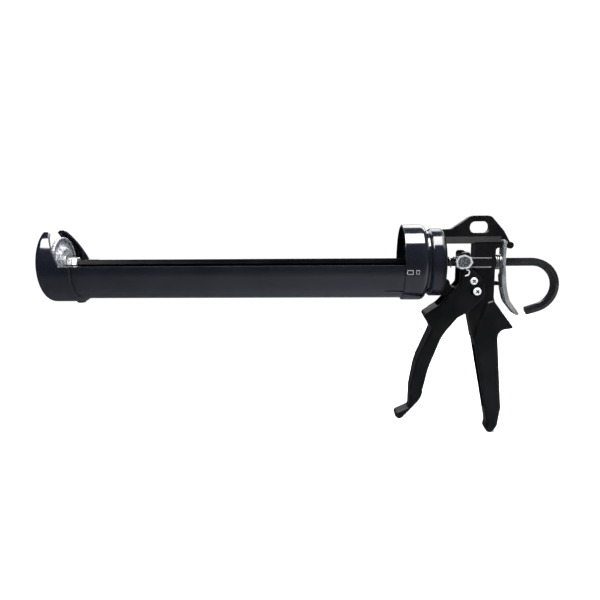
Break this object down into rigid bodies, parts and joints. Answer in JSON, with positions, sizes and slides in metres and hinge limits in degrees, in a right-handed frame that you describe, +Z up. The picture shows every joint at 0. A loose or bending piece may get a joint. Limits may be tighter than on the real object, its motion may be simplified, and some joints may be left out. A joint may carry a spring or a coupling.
{
  "type": "caulking gun",
  "caption": "Caulking gun with a swivelling half-round cradle, hexagonal push rod ending in a hook, trigger grip and sprung release lever.",
  "frame": {"origin": "on the gun's axis, at the outer face of the nose plate, in the centre of the nozzle slot", "axes": "+X back along the push rod to the handle, +Z up, handle pointing down"},
  "size_m": [0.4024, 0.06, 0.1743],
  "materials": {
    "gloss_paint": "glossy blue-black enamel on sheet steel",
    "satin_paint": "satin black powder coat on a casting",
    "black_oxide": "black oxide steel bar",
    "zinc_plate": "bright zinc plating",
    "spring_steel": "drawn spring wire, zinc plated"
  },
  "bodies": {
    "frame": {"frame_casting": "satin_paint", "swivel_washer": "gloss_paint", "pivot_screw": "zinc_plate", "pivot_nut": "zinc_plate", "stop_screw": "zinc_plate", "stop_nut": "zinc_plate", "drive_spring": "spring_steel", "catch_spring": "spring_steel"},
    "cradle": {"cradle": "gloss_paint", "nose_cup": "gloss_paint", "nose_rivet": "gloss_paint", "rear_cup": "gloss_paint", "cup_tabs": "zinc_plate", "swivel_bush": "zinc_plate", "bush_rivets": "zinc_plate", "swivel_ring": "spring_steel"},
    "trigger": {"trigger": "satin_paint"},
    "pawl": {"drive_pawl": "black_oxide", "trunnion_pins": "zinc_plate", "trunnion_cap": "zinc_plate", "pawl_clip": "spring_steel"},
    "release_lever": {"release_lever": "zinc_plate"},
    "push_rod": {"push_rod": "black_oxide", "piston_plate": "zinc_plate", "piston_front_nut": "zinc_plate", "piston_washer": "zinc_plate", "piston_nut": "zinc_plate", "piston_jam_nut": "zinc_plate"}
  },
  "joints": [
    {"name": "cradle_swivel", "type": "hinge", "parent": "frame", "child": "cradle", "pos_m": [0.2986, 0, 0], "axis": [1, 0, 0], "continuous": true},
    {"name": "rod_slide", "type": "slide", "parent": "frame", "child": "push_rod", "axis": [1, 0, 0], "range_m": [-0.004, 0.255]},
    {"name": "trigger_pull", "type": "hinge", "parent": "frame", "child": "trigger", "pos_m": [0.3346, 0, -0.0136], "axis": [0, -1, 0], "range_deg": [0, 20], "stiffness_Nm_per_rad": 0.5, "springref_deg": -34.38},
    {"name": "pawl_slide", "type": "slide", "parent": "frame", "child": "pawl", "axis": [-1, 0, 0], "range_m": [0, 0.0053], "deforming": ["drive_spring"]},
    {"name": "lever_release", "type": "hinge", "parent": "frame", "child": "release_lever", "pos_m": [0.3588, 0, 0.0155], "axis": [0, 1, 0], "range_deg": [0, 4], "stiffness_Nm_per_rad": 0.5, "springref_deg": -11.46, "deforming": ["catch_spring"]}
  ],
  "couplings": [
    {"joint": "pawl_slide", "follows": "trigger_pull", "m_per_rad": 0.0149}
  ]
}
